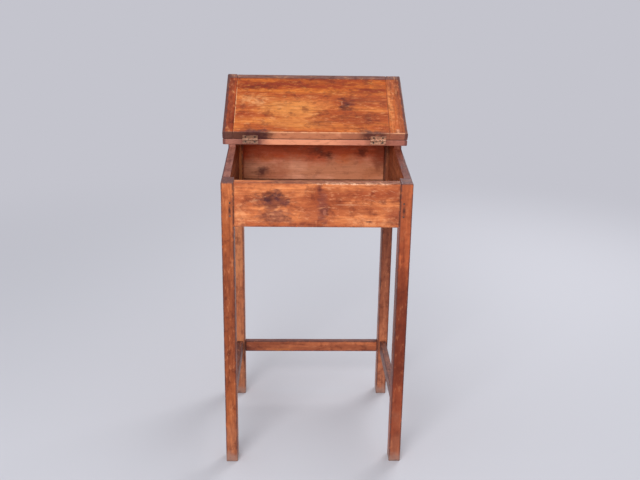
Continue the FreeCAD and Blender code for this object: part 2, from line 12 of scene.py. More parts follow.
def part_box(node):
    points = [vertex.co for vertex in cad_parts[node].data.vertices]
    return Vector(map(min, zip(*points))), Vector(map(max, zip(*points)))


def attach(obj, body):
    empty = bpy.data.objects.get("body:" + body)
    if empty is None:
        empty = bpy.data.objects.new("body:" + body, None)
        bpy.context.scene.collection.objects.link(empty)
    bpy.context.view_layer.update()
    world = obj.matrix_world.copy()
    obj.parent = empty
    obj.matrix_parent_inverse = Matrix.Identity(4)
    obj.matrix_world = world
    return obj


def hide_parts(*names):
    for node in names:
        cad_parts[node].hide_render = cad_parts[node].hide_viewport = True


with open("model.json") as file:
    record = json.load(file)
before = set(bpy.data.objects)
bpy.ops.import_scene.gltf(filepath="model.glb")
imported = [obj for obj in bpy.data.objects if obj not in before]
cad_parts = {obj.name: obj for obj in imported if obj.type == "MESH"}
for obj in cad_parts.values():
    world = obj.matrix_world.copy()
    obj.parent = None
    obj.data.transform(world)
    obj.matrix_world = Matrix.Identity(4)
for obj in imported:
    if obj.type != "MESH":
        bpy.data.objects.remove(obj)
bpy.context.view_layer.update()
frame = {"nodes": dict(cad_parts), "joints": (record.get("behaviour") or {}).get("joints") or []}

slope = math.radians(7)
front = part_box("leg_front_left")[0].y
front_height = 0.750
frame_depth = 0.410
play = 0.0002


def tint(red, green, blue):
    """A colour as the eye sees it, from 0 to 255, as the light that it gives back."""
    shares = [part / 255 for part in (red, green, blue)]
    linear = [part / 12.92 if part <= 0.04045 else ((part + 0.055) / 1.055) ** 2.4
              for part in shares]
    return (*linear, 1.0)


class Tone:
    """A number that changes over a surface. Sums written with it become nodes of its finish."""

    def __init__(self, finish, socket):
        self.finish = finish
        self.socket = socket

    def worked(self, operation, *given):
        return self.finish.node("ShaderNodeMath", {"operation": operation}, dict(enumerate(given)))

    def __add__(self, other):
        return self.worked("ADD", self, other)

    def __sub__(self, other):
        return self.worked("SUBTRACT", self, other)

    def __rsub__(self, other):
        return self.worked("SUBTRACT", other, self)

    def __mul__(self, other):
        return self.worked("MULTIPLY", self, other)

    def __truediv__(self, other):
        return self.worked("DIVIDE", self, other)

    def __pow__(self, other):
        return self.worked("POWER", self, other)

    def __abs__(self):
        return self.worked("ABSOLUTE", self)

    __radd__ = __add__
    __rmul__ = __mul__

    def least(self, other):
        return self.worked("MINIMUM", self, other)

    def most(self, other):
        return self.worked("MAXIMUM", self, other)

    def past_whole(self):
        return self.worked("FRACT", self)

    def rise(self, start, end):
        """From 0 at the start to 1 at the end, with soft shoulders; the start may be the higher."""
        return self.finish.node("ShaderNodeMapRange", {"interpolation_type": "SMOOTHSTEP"},
                                {"Value": self, "From Min": start, "From Max": end})


class Finish:
    """A surface finish, built up in coats on one shader, in the axes of the board that has it."""

    def __init__(self, name, origin=(0, 0, 0), turn=0.0):
        self.material = bpy.data.materials.new(name)
        self.material.use_nodes = True
        self.tree = self.material.node_tree
        self.shader = self.tree.nodes["Principled BSDF"]
        place = self.node("ShaderNodeTexCoord", output="Object")
        place = self.node("ShaderNodeMapping", {"vector_type": "TEXTURE"},
                          {"Vector": place, "Location": origin, "Rotation": (turn, 0, 0)})
        self.x, self.y, self.z = (self.node("ShaderNodeSeparateXYZ", {}, {0: place}, axis)
                                  for axis in "XYZ")

    def node(self, kind, settings=(), given=(), output=0):
        """One node: its settings first, then the values or links of its sockets."""
        made = self.tree.nodes.new(kind)
        for name, setting in dict(settings).items():
            setattr(made, name, setting)
        for name, content in dict(given).items():
            if isinstance(content, Tone):
                self.tree.links.new(content.socket, made.inputs[name])
            else:
                made.inputs[name].default_value = content
        return Tone(self, made.outputs[output])

    def noise(self, x, y, z, detail=3, roughness=0.5, seed=0.0):
        """Cloudy noise, with its spots to the metre along each axis."""
        place = self.node("ShaderNodeCombineXYZ", {},
                          {"X": self.x * x + seed, "Y": self.y * y + seed, "Z": self.z * z - seed})
        return self.node("ShaderNodeTexNoise", {},
                         {"Vector": place, "Scale": 1.0, "Detail": detail, "Roughness": roughness})

    def start(self, colour):
        self.colour = tint(*colour)

    def lay(self, colour, cover, way="MIX"):
        """Lay a colour over what is there, as thick as its cover says."""
        self.colour = self.node("ShaderNodeMix", {"data_type": "RGBA", "blend_type": way},
                                {0: cover, 6: self.colour, 7: tint(*colour)}, 2)

    def shade(self, colour, cover):
        """Darken what is there through a colour, as a thin dark glaze does."""
        self.lay(colour, cover, "MULTIPLY")

    def set(self, **sockets):
        """Link what varies to the shader, and set what is the same all over."""
        for name, content in sockets.items():
            socket = self.shader.inputs[name.replace("_", " ").title().replace("Ior", "IOR")]
            if isinstance(content, Tone):
                self.tree.links.new(content.socket, socket)
            else:
                socket.default_value = content

    def relief(self, height, depth, strength=1.0):
        """Raise the surface by a height from 0 to 1, times a depth."""
        self.set(normal=self.node("ShaderNodeBump", {},
                                  {"Strength": strength, "Distance": depth, "Height": height}))


class Wood(Finish):
    """Old stained and varnished wood on one board, with its grain along one of the board's axes."""

    def __init__(self, name, low, high, grain, seed, origin=(0, 0, 0), turn=0.0):
        super().__init__(name, origin, turn)
        self.seed = seed
        self.order = ["xyz".index(letter) for letter in grain]
        middle = [(a + b) / 2 for a, b in zip(low, high)]
        half = [(b - a) / 2 for a, b in zip(low, high)]
        axes = (self.x, self.y, self.z)
        self.along, self.across, self.deep = (axes[index] for index in self.order)
        self.middle = [middle[index] for index in self.order]
        a, b, c = (size - abs(axis - at) for size, at, axis in zip(half, middle, axes))
        self.arris = a.least(b).most(a.most(b).least(c))
        self.rag = self.streaks(60, 120, 4, 31.0) - 0.5
        self.broken = self.clouds(0.012, 4, 27.0).rise(0.34, 0.56)
        self.mottle = self.streaks(42, 120, 5, 1.0, 0.7)
        self.face = 1.0

    def streaks(self, long, fine, detail=3, seed=0.0, roughness=0.5):
        """Noise drawn out along the grain: its spots to the metre along and across it."""
        counts = [0, 0, 0]
        for index, count in zip(self.order, (long, fine, fine)):
            counts[index] = count
        return self.noise(*counts, detail=detail, roughness=roughness, seed=self.seed + seed)

    def clouds(self, size, detail=4, seed=0.0, roughness=0.6):
        """Noise whose spots have this size."""
        return self.noise(1 / size, 1 / size, 1 / size, detail, roughness, self.seed + seed)

    def rings(self, across, deep, width, knots=()):
        """Year rings about a pith line beside the board, dark at the end of each year's growth."""
        wander = self.streaks(3, 12, 3) - 0.5
        a = self.across - (self.middle[1] + across) + wander * 0.035
        d = self.deep - (self.middle[2] + deep) + (self.along - self.middle[0]) * 0.03
        radius = (a * a + d * d) ** 0.5
        for along, aside, size in knots:
            radius = radius + self.patch(along, aside, size * 2.2, size * 1.3, 0.1, 1.0) * size
        return (radius / width).past_whole() ** 2.2

    def patch(self, along, across, long, wide, ragged=0.4, soft=0.7):
        """A soft-edged oval spot: its middle and half sizes along and across the grain."""
        a = (self.along - along) / long
        b = (self.across - across) / wide
        reach = (a * a + b * b) ** 0.5
        return (reach + self.rag * (2 * ragged)).rise(1, 1 - soft)

    def stain(self, colour, cover, *spot, broken=False, **edge):
        """One mark on a face: a colour laid on thinly in a patch, or in flecks."""
        where = self.patch(*spot, **edge) * self.face
        self.lay(colour, (where * self.broken if broken else where) * cover)

    def ground(self, pale, deep, rings):
        """The first coats: stain and varnish drawn into the fibres and the year rings."""
        self.start(pale)
        self.lay(deep, self.streaks(5, 34, 4, 3.0).rise(0.40, 0.60))
        self.lay(deep, self.clouds(0.045, 4, 6.0).rise(0.46, 0.62) * 0.6)
        self.lay(deep, rings * 0.5)
        self.grain = rings

    def age(self, worn, wear=0.5, grime=0.8, spotted=1.0):
        """What years add: dark fibres, crazed and flaked varnish, grimy or rubbed arrises."""
        dull = (164, 134, 136)
        self.shade(dull, self.streaks(9, 160, 4, 7.0).rise(0.46, 0.74) * 0.45 * spotted)
        self.shade(dull, self.clouds(0.030, 5, 2.0, 0.7).rise(0.50, 0.66) * 0.6 * spotted)
        self.shade(dull, self.mottle.rise(0.48, 0.68) * 0.4 * spotted)
        self.lay(worn, self.mottle.rise(0.46, 0.34) * 0.35 * spotted)
        chips = self.clouds(0.010, 4, 5.0)
        self.lay((78, 48, 48), self.arris.rise(0.0050, 0.0008) * chips.rise(0.32, 0.50) * grime)
        self.rubbed = (self.arris + chips * 0.004 - 0.002).rise(0.0018, 0.0002) * wear
        self.lay(worn, self.rubbed * chips.rise(0.46, 0.60))

    def scratches(self, colour, cover, slant, seed):
        """Thin, short, slanting scratches."""
        lean = self.along * slant + self.across
        run = self.along - self.across * slant
        place = self.node("ShaderNodeCombineXYZ", {}, {"X": run * 22 + seed, "Y": lean * 900})
        cut = self.node("ShaderNodeTexNoise", {}, {"Vector": place, "Scale": 1.0, "Detail": 1.0})
        cut = cut.rise(0.66, 0.74) * self.clouds(0.05, 2, seed).rise(0.45, 0.6)
        self.lay(colour, cut * self.face * cover)

    def done(self, gloss=0.40):
        """Give the finish its sheen and its surface, and hand the material over."""
        fibres = self.streaks(14, 600, 2, 11.0)
        dents = self.clouds(0.008, 3, 2.0)
        self.set(base_color=self.colour, specular_ior_level=0.25,
                 roughness=self.mottle * 0.3 + self.rubbed * 0.2 + fibres * 0.15 + (gloss - 0.2))
        self.relief(fibres * 0.5 + self.grain * 0.3 + dents * 0.7, 0.0007, 0.7)
        return self.material


def block(low, high):
    """A rough block between two corners, a little smaller than its solid."""
    shape = bmesh.new()
    bmesh.ops.create_cube(shape, size=1)
    low, high = (Vector(corner) for corner in (low, high))
    bmesh.ops.scale(shape, vec=high - low - Vector((play, play, play)) * 2, verts=shape.verts)
    bmesh.ops.translate(shape, vec=(low + high) / 2, verts=shape.verts)
    return shape


def everything(shape):
    """All that a cut has to look at."""
    return shape.verts[:] + shape.edges[:] + shape.faces[:]


def sawn(shape, spot, outward):
    """Saw the shape off at a plane, and keep what lies behind it."""
    cut = bmesh.ops.bisect_plane(shape, geom=everything(shape), plane_co=spot, plane_no=outward,
                                 clear_outer=True)
    rim = [part for part in cut["geom_cut"] if isinstance(part, bmesh.types.BMEdge)]
    bmesh.ops.edgeloop_fill(shape, edges=rim)
    bmesh.ops.recalc_face_normals(shape, faces=shape.faces)
    return shape


def worn(shape, seed, rounds=(), arris=0.0014, step=0.012, wear=0.0004):
    """Round the arrises, cut the faces up along the board and let them waver as old wood does."""
    for wanted, radius, segments in rounds:
        chosen = [edge for edge in shape.edges if wanted((edge.verts[0].co + edge.verts[1].co) / 2)]
        bmesh.ops.bevel(shape, geom=chosen, offset=radius, offset_type="OFFSET",
                        segments=segments, profile=0.5, affect="EDGES", material=-1)
    sharp = [edge for edge in shape.edges if edge.calc_face_angle_signed(0) > math.radians(50)]
    bmesh.ops.bevel(shape, geom=sharp, offset=arris, offset_type="OFFSET", segments=3,
                    profile=0.5, affect="EDGES", clamp_overlap=True, material=-1)
    spots = [vert.co for vert in shape.verts]
    low = Vector([min(spot[axis] for spot in spots) for axis in range(3)])
    size = Vector([max(spot[axis] for spot in spots) for axis in range(3)]) - low
    for axis in sorted(range(3), key=lambda index: size[index])[1:]:
        count = max(1, round(size[axis] / step))
        direction = Vector([float(index == axis) for index in range(3)])
        for number in range(1, count):
            bmesh.ops.bisect_plane(shape, geom=everything(shape), dist=1e-5,
                                   plane_co=low + direction * size[axis] * number / count,
                                   plane_no=direction)
    shape.normal_update()
    for vert in shape.verts:
        dent = noise.noise(vert.co * 70 + Vector((seed, seed, seed)))
        wave = noise.noise(vert.co * 14 - Vector((seed, seed, seed)))
        vert.co -= vert.normal * wear * (max(0.0, dent) + 0.5 * max(0.0, wave))
    return shape


def link(shape, name):
    """Make a shape an object of the scene, with its flat faces flat and its rounds smooth."""
    mesh = bpy.data.meshes.new(name)
    shape.to_mesh(mesh)
    shape.free()
    mesh.polygons.foreach_set("use_smooth", [True] * len(mesh.polygons))
    piece = bpy.data.objects.new(name, mesh)
    bpy.context.scene.collection.objects.link(piece)
    return piece


def fit(piece, body, slot, material, *nodes, place=None):
    """Put a piece in its place with its finish: it rides on a body and stands for its solids."""
    if place:
        piece.data.transform(place)
    piece.data.materials.clear()
    piece.data.materials.append(material)
    piece.data.set_sharp_from_angle(angle=math.radians(40))
    even = piece.modifiers.new("even_shading", "WEIGHTED_NORMAL")
    even.weight = 60
    even.keep_sharp = True
    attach(piece, body)
    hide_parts(*nodes)


def on_slope(rise=0.0):
    """The plane that the lid closes on, or one at a height above it."""
    return Vector((0, front, front_height + rise)), Vector((0, -math.sin(slope), math.cos(slope)))


def above_slope(wood):
    """How far a point of a board is above the plane that the lid closes on."""
    return (wood.z - front_height) - (wood.y - front) * math.tan(slope)


top_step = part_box("leg_rear_left")[1].z - front_height - frame_depth * math.tan(slope)
spare = Vector((0, 0, 0.02))
leg_looks = {
    "leg_front_left": ((204, 114, 60), (162, 82, 40), (132, 62, 34), 1.0),
    "leg_front_right": ((194, 98, 54), (144, 62, 32), (98, 34, 14), 2.7),
    "leg_rear_left": ((255, 170, 108), (240, 146, 92), (150, 84, 56), 4.1),
    "leg_rear_right": ((250, 150, 98), (202, 112, 70), (104, 54, 42), 5.9),
}
for node, (pale, deep, shaded, seed) in leg_looks.items():
    low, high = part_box(node)
    wood = Wood(node + "_finish", low, high, "zxy", seed)
    wood.ground(pale, deep, wood.rings(0.06, 0.045, 0.0045))
    height = wood.z + (wood.clouds(0.06, 2, 4.0) - 0.5) * 0.3
    wood.lay(deep, wood.streaks(3, 90, 3, 13.0).rise(0.46, 0.60) * 0.6)
    wood.lay(shaded, height.rise(0.63, 0.50) * height.rise(0.12, 0.28) * 0.65)
    wood.lay((170, 110, 82), height.rise(0.18, 0.06) * 0.4)
    if "front" in node:
        wood.lay((226, 130, 76), height.rise(0.60, 0.74) * 0.25)
    else:
        wood.lay((124, 76, 60), height.rise(0.30, 0.14) * 0.5)
    if node == "leg_rear_right":
        # Painted shade: the top of this post is darkened for its strip inside the compartment's right
        # corner, under the fixed top.
        wood.lay((112, 60, 40), wood.z.rise(0.64, 0.66) * 0.8)
    wood.age((216, 138, 92), 0.35, spotted=0.6 if node == "leg_front_right" else 1.0)
    if "front" in node:
        nail_line = 0.2075 if "right" in node else -0.2075
        wood.face = (wood.y - front).rise(0.006, 0.002)
        wood.stain((116, 56, 38), 0.7, 0.684, nail_line, 0.026, 0.0066, ragged=0.6, soft=1.0)
        wood.stain((54, 28, 26), 0.85, 0.684, nail_line, 0.013, 0.0050, ragged=0.6, soft=1.0)
        end_grain = above_slope(wood).rise(-0.003, 0)
        wood.lay((118, 76, 66), end_grain * 0.8)
        wood.lay((82, 54, 60), end_grain * wood.broken * 0.6)
    foot = wood.z + (wood.clouds(0.016, 4, 6.0) - 0.5) * 0.05
    wood.lay((158, 120, 106), foot.rise(0.036, 0.004) * 0.85)
    wood.lay((104, 74, 66), foot.rise(0.010, -0.004) * 0.6)
    shape = sawn(block(low, high + spare), *on_slope(0.0 if "front" in node else top_step))
    fit(link(worn(shape, seed), node + "_post"), "frame", "leg_wood", wood.done(), node)

# FRONT APRON
# A broad board of the same wood between the front legs, tenoned into them, its top edge planed
# to the slope. Ink and water have left purple-brown stains, and the front arris is rubbed pale.
leg_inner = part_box("leg_front_right")[0].x
box_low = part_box("front_apron")[0].z
apron_thickness, apron_rise = 0.022, 0.003
low = Vector((-leg_inner, front, box_low))
high = Vector((leg_inner, front + apron_thickness, front_height + apron_rise))
wood = Wood("apron_finish", low, high, "xzy", 8.3)
wood.ground((224, 132, 76), (186, 96, 52), wood.rings(-0.14, 0.03, 0.0065))
front_face = (wood.y - front).rise(0.008, 0.003)
wood.face = front_face
wood.stain((158, 68, 34), 0.7, 0.12, 0.722, 0.10, 0.026)
wood.stain((152, 66, 32), 0.75, 0.02, 0.714, 0.08, 0.036)
wood.stain((166, 84, 52), 0.5, 0.00, 0.670, 0.060, 0.030, ragged=0.6)
wood.stain((148, 66, 40), 0.75, 0.19, 0.668, 0.040, 0.036)
wood.stain((144, 62, 34), 0.6, 0.19, 0.722, 0.034, 0.030)
wood.stain((236, 156, 104), 0.6, 0.13, 0.655, 0.08, 0.014, broken=True)
wood.stain((234, 152, 100), 0.6, -0.180, 0.668, 0.026, 0.045, broken=True)
wood.stain((120, 60, 42), 0.8, -0.104, 0.708, 0.064, 0.032, ragged=0.8)
wood.stain((136, 76, 58), 0.75, -0.100, 0.668, 0.056, 0.026, ragged=0.8)
wood.stain((84, 38, 42), 0.85, -0.122, 0.708, 0.024, 0.013, ragged=0.8, broken=True)
wood.stain((84, 38, 42), 0.85, -0.096, 0.720, 0.018, 0.018, ragged=0.8, broken=True)
wood.stain((84, 38, 42), 0.7, -0.076, 0.704, 0.018, 0.012, ragged=0.8, broken=True)
wood.stain((130, 66, 54), 0.6, 0.013, 0.694, 0.017, 0.052, ragged=0.8)
wood.stain((120, 58, 46), 0.65, 0.017, 0.680, 0.016, 0.030, ragged=0.9, broken=True)
wood.stain((188, 112, 84), 0.6, 0.018, 0.678, 0.006, 0.012, ragged=0.6)
wood.stain((104, 38, 28), 0.85, 0.005, 0.739, 0.011, 0.015, ragged=0.7, soft=1.0)
wood.stain((112, 46, 34), 0.6, 0.155, 0.706, 0.016, 0.010, broken=True)
wood.stain((112, 46, 34), 0.6, -0.030, 0.650, 0.040, 0.007, broken=True)
wood.stain((240, 178, 138), 0.7, 0.072, 0.6983, 0.044, 0.0011, ragged=0.3)
wood.stain((94, 42, 34), 0.7, 0.122, 0.6764, 0.044, 0.0016, ragged=0.9)
wood.stain((82, 38, 34), 0.85, 0.124, 0.6566, 0.011, 0.0028)
top_edge = above_slope(wood)
wood.lay((138, 80, 56), top_edge.rise(-0.002, -0.0005) * wood.x.rise(-0.14, -0.08) * 0.75)
wood.age((242, 168, 118), 0.7, 0.5)
# The arris is chipped in places, so its pale line is broken twice over.
wood.face = wood.broken * wood.broken
wood.stain((246, 188, 152), 0.9, 0.08, 0.7488, 0.12, 0.0030, ragged=0.9)
wood.face = front_face
wood.scratches((240, 180, 140), 0.45, 0.4, 2.0)
shape = sawn(block(low, high + spare), *on_slope())
fit(link(worn(shape, 8.3), "apron_board"), "frame", "apron_wood", wood.done(), "front_apron")

# SIDE PANELS
# Boards between the front and rear legs, tenoned into them. Their top edges follow the slope, step up
# in front of the hinges, and are worn grey-brown where the lid closes on them, with painted shade on
# those up-facing tops, darkest on the right. Each board is sawn to that outline.
half_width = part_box("leg_front_right")[1].x
side_thickness = 0.020
leg_depth = 0.040
rear_leg = 0.370
step_foot = 0.2558
for side, sign, top_wear_and_shade in (("left", -1, (164, 106, 92)), ("right", 1, (112, 50, 36))):
    inner, outer = sorted((sign * (half_width - side_thickness), sign * half_width))
    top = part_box("side_panel_" + side)[1].z
    low = Vector((inner, front + leg_depth, box_low))
    high = Vector((outer, front + rear_leg, top))
    wood = Wood(f"side_{side}_finish", low, high, "yzx", 11.0 + sign)
    wood.ground((180, 100, 62), (140, 68, 40), wood.rings(-0.12, 0.03 * sign, 0.006))
    top_edge = above_slope(wood)
    # Painted shade on the up-facing top edges, darkest on the right side, laid with their grey-brown
    # wear.
    wood.lay(top_wear_and_shade, top_edge.rise(-0.003, -0.0005) * 0.85)
    wood.age((184, 122, 96))
    outer_arris = (wood.x * sign).rise(half_width - 0.0045, half_width - 0.0020)
    wood.lay((84, 54, 58), top_edge.rise(-0.004, -0.001) * outer_arris * 0.85)
    near, far, foot = (front + depth for depth in (leg_depth + play, rear_leg - play, step_foot))
    heights = [front_height + (depth - front) * math.tan(slope) - play
               for depth in (near, foot, foot, far)]
    outline = [(near, box_low + play), (far, box_low + play), (far, heights[3] + top_step),
               (foot - top_step * math.sin(slope), heights[2] + top_step), (foot, heights[1]),
               (near, heights[0])]
    shape = bmesh.new()
    face = shape.faces.new([shape.verts.new((inner + play, y, z)) for y, z in outline])
    grown = bmesh.ops.extrude_face_region(shape, geom=[face])["geom"]
    moved = [part for part in grown if isinstance(part, bmesh.types.BMVert)]
    bmesh.ops.translate(shape, vec=(outer - inner - 2 * play, 0, 0), verts=moved)
    bmesh.ops.recalc_face_normals(shape, faces=shape.faces)
    fit(link(worn(shape, 11.0 + sign), "side_board_" + side), "frame", "side_wood", wood.done(),
        "side_panel_" + side)

# BACK PANEL
# The board between the rear posts, under the fixed top. Inside it shows above the books: faded to a
# pinkish tan below, redder under the fixed top, with ink stains and painted shade at its right end.
back_thickness = 0.020
low = Vector((-leg_inner, front + frame_depth - back_thickness, box_low))
high = Vector((leg_inner, front + frame_depth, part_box("back_panel")[1].z))
wood = Wood("back_finish", low, high, "xzy", 15.0)
wood.ground((236, 164, 130), (210, 136, 98), wood.rings(0.15, -0.03, 0.007))
from_front = wood.y - front
wood.face = from_front.rise(frame_depth - 0.008, frame_depth - 0.016)
under_lid = wood.z + (wood.clouds(0.07, 4, 3.0) - 0.5) * 0.09
outside = from_front.rise(frame_depth - 0.008, frame_depth - 0.004)
wood.lay((192, 104, 58), outside * 0.8)
wood.lay((138, 70, 42), outside * wood.streaks(5, 34, 4, 9.0).rise(0.42, 0.60) * 0.75)
wood.shade((150, 112, 108), outside * wood.clouds(0.030, 5, 9.0, 0.7).rise(0.48, 0.64) * 0.7)
wood.lay((204, 76, 26), under_lid.rise(0.695, 0.745) * wood.face * 0.85)
wood.stain((190, 112, 70), 0.5, 0.17, 0.680, 0.05, 0.05)
wood.stain((190, 108, 74), 0.65, -0.110, 0.680, 0.070, 0.040)
# Painted shade: the right end of the inside face, in the corner by the right rear post, is darkened.
wood.stain((128, 52, 28), 0.65, 0.185, 0.725, 0.034, 0.055)
wood.stain((236, 126, 66), 0.4, 0.085, 0.724, 0.040, 0.022, ragged=0.9, soft=1.0)
wood.stain((236, 130, 72), 0.35, -0.140, 0.722, 0.060, 0.016, ragged=0.9, soft=1.0)
wood.stain((90, 42, 40), 0.85, -0.145, 0.686, 0.028, 0.020, ragged=0.8, soft=1.0)
wood.stain((96, 32, 16), 0.7, 0.010, 0.746, 0.050, 0.020, ragged=0.9, soft=1.0)
wood.stain((96, 32, 16), 0.8, 0.036, 0.734, 0.030, 0.018, ragged=0.9, soft=1.0)
wood.stain((96, 32, 16), 0.75, 0.134, 0.742, 0.030, 0.022, ragged=0.9, soft=1.0)
wood.age((228, 162, 128), 0.2, 0.3, 0.45)
shape = sawn(block(low, high + spare), *on_slope(top_step))
fit(link(worn(shape, 15.0), "back_board"), "frame", "box_wood", wood.done(0.55), "back_panel")

# STRETCHERS
# Three low rails, one at each side and one at the back, tenoned into the legs. Shoes have
# darkened the side rails to purple-brown.
tenon = 0.012
stretcher_looks = {
    "stretcher_left": ((128, 78, 62), (102, 60, 52), 32.8),
    "stretcher_right": ((136, 84, 68), (108, 64, 54), 33.6),
    "stretcher_rear": ((204, 116, 72), (162, 86, 54), 40.4),
}
for node, (pale, deep, seed) in stretcher_looks.items():
    low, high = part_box(node)
    crosswise = node == "stretcher_rear"
    ends = Vector((tenon, 0, 0)) if crosswise else Vector((0, tenon, 0))
    low, high = low + ends, high - ends
    wood = Wood(node + "_finish", low, high, "xzy" if crosswise else "yzx", seed)
    wood.ground(pale, deep, wood.rings(-0.05, 0.02, 0.005))
    if crosswise:
        wood.stain((122, 60, 44), 0.7, -0.200, 0.132, 0.080, 0.040, ragged=0.6)
        wood.stain((206, 128, 58), 0.6, -0.085, 0.137, 0.050, 0.008, ragged=0.6)
        wood.stain((176, 68, 42), 0.5, -0.060, 0.128, 0.100, 0.016, ragged=0.8)
        wood.lay((108, 64, 56), wood.z.rise(high.z - 0.0022, high.z - 0.0008) * 0.85)
    wood.age((206, 136, 96), 0.3)
    fit(link(worn(block(low, high), seed), node + "_rail"), "frame", "stretcher_wood",
        wood.done(), node)

# FLOOR OF THE COMPARTMENT
# A thin board notched round the legs, nailed down on four battens. It was never varnished, and
# books and dust have greyed it.
floor_nodes = ("bottom_board", "batten_front", "batten_rear", "batten_left", "batten_right")
for number, node in enumerate(floor_nodes):
    low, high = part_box(node)
    grain = "yxz" if node in ("batten_left", "batten_right") else "xyz"
    wood = Wood(node + "_finish", low, high, grain, 31.0 + number)
    wood.ground((184, 132, 98), (152, 102, 74), wood.rings(-0.2, 0.05, 0.007))
    wood.age((204, 158, 124), 0.3, 0.4)
    thing = frame["nodes"][node]
    thing.data.materials.clear()
    thing.data.materials.append(wood.done(0.65))

# FIXED TOP
# The narrow board behind the lid, nailed down on the sides, the rear posts and the back. Its back
# is rounded over, its ends are eased, and shallow seats are chiselled in its front edge for the
# hinges. The front edge is rubbed to bare wood, and darker by the left hinge.
pin = Vector(frame["joints"][0]["pos_m"])
hinge_edge = 0.001
top_place = Matrix.Translation(pin) @ Matrix.Rotation(slope, 4, "X")
board_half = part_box("fixed_top")[1].x
hinge_depth, rear_overhang = 0.252, 0.010
top_depth = (frame_depth + rear_overhang - hinge_depth) / math.cos(slope)
top_thickness = 0.0155
hinge_middles = (-0.170, 0.165)
leaf_length, leaf_height, leaf_thickness, leaf_fit = 0.040, 0.012, 0.0012, 0.00015
barrel_seat = 0.00315
overrun = 0.002
speck = 0.00001
touch = 0.001


def seated(piece):
    """Chisel the hinges' seats in a board's edge: a flat for each leaf and a hollow for its barrel."""
    for middle in hinge_middles:
        reach = leaf_length / 2 + leaf_fit
        depth = hinge_edge + leaf_thickness + leaf_fit
        flat = block((middle - reach - play, -depth - play, -leaf_height - leaf_fit - play),
                     (middle + reach + play, depth + play, overrun))
        hollow = bmesh.new()
        bmesh.ops.create_cone(hollow, cap_ends=True, segments=32, radius1=barrel_seat,
                              radius2=barrel_seat, depth=2 * reach,
                              matrix=Matrix.Translation((middle, 0, 0))
                              @ Matrix.Rotation(math.pi / 2, 4, "Y"))
        for cutter in (link(flat, "flat"), link(hollow, "hollow")):
            cut = piece.modifiers.new("seat", "BOOLEAN")
            cut.object = cutter
            cut.operation = "DIFFERENCE"
            cut.solver = "MANIFOLD"
            whole = piece.evaluated_get(bpy.context.evaluated_depsgraph_get())
            carved = bpy.data.meshes.new_from_object(whole)
            piece.modifiers.clear()
            piece.data = carved
            bpy.data.objects.remove(cutter)
    shape = bmesh.new()
    shape.from_mesh(piece.data)
    bmesh.ops.remove_doubles(shape, verts=shape.verts, dist=2 * speck)
    bmesh.ops.dissolve_degenerate(shape, edges=shape.edges, dist=speck)
    bmesh.ops.triangulate(shape, faces=[face for face in shape.faces if len(face.verts) > 4])
    bmesh.ops.dissolve_degenerate(shape, edges=shape.edges, dist=speck)
    shape.to_mesh(piece.data)
    shape.free()
    return piece


low = Vector((-board_half, hinge_edge, -top_thickness))
high = Vector((board_half, top_depth, 0))
wood = Wood("fixed_top_finish", low, high, "xyz", 40.0, pin, slope)
wood.ground((208, 124, 78), (168, 88, 52), wood.rings(-0.2, 0.05, 0.007))
wood.age((238, 168, 128), 0.9, 0.4)
wood.face = wood.y.rise(0.004, 0.0015)
drift = wood.x + (wood.clouds(0.03, 4, 3.0) - 0.5) * 0.06
wood.lay((255, 172, 134), wood.face * 0.92)
wood.lay((150, 96, 86), wood.face * drift.rise(-0.110, -0.150) * 0.85)
wood.lay((206, 128, 106), wood.face * drift.rise(0.04, 0.10) * 0.7)
wood.lay((140, 82, 74), wood.face * drift.rise(0.15, 0.23) * 0.7)
wood.shade((160, 120, 116), wood.face * wood.mottle.rise(0.50, 0.66) * 0.35)
for middle in hinge_middles:
    near = abs(wood.x - middle) + (wood.clouds(0.02, 3, 8.0) - 0.5) * 0.02
    wood.lay((96, 50, 46), wood.face * near.rise(0.040, 0.022) * 0.5)
# Painted shade of the eased ends, with some grime: a dark band along each end of the fixed top.
wood.lay((96, 56, 56), abs(wood.x).rise(board_half - 0.010, board_half - 0.005) * 0.7)


def back_edge(spot):
    """Whether a point is on one of the fixed top's back edges, upper or lower."""
    return abs(spot.y - top_depth) < touch and min(-spot.z, spot.z + top_thickness) < touch


def board_end(spot):
    """Whether a point is round one of the fixed top's ends, but not on its front edge."""
    return abs(abs(spot.x) - board_half) < touch and spot.y > hinge_edge + touch


rounds = [(back_edge, 0.006, 6), (board_end, 0.0025, 3)]
board = link(worn(block(low, high), 40.0, rounds), "fixed_top_board")
fit(seated(board), "frame", "top_wood", wood.done(), "fixed_top", place=top_place)

# LID
# A panel with its grain across the desk, tongued into a cleat at each end. The left cleat stands a
# little proud at the free edge, and the right one is sawn to a taper. The free edge is rounded over
# and the ends are eased. The underside has amber varnish, streaks and a knot, and hand grime; painted
# shade lies along the hinge edge and the ends, and painted highlights on an arris and the left joint.
open_turn = math.radians(28 - 180)
lid_place = Matrix.Translation(pin) @ Matrix.Rotation(open_turn, 4, "X")
lid_thickness, lid_depth = 0.0225, 0.2635
left_joint, joint_start, taper = -0.214, 0.193, 0.008
right_joint = (Vector((joint_start, 0, 0)), Vector((joint_start + taper, -lid_depth, 0)))
joint_normal = Vector((lid_depth, taper, 0)).normalized()
lid_low = Vector((-board_half, -lid_depth, -lid_thickness))
lid_high = Vector((board_half, -hinge_edge, 0))
saw_room = Vector((0.02, 0, 0))


def free_edge(spot):
    """Whether a point is on one of the lid's free edges, upper or lower."""
    return spot.y < -lid_depth + touch and abs(spot.z + lid_thickness / 2) > touch


def outer_end(spot):
    """Whether a point is round a cleat's outer end, but not on its hinge edge."""
    return abs(abs(spot.x) - board_half) < touch and spot.y < -hinge_edge - touch


def joint(spot):
    """Whether a point is on a joint between the panel and a cleat."""
    return (abs(spot.x - left_joint) < touch
            or abs((spot - right_joint[0]).dot(joint_normal)) < touch)


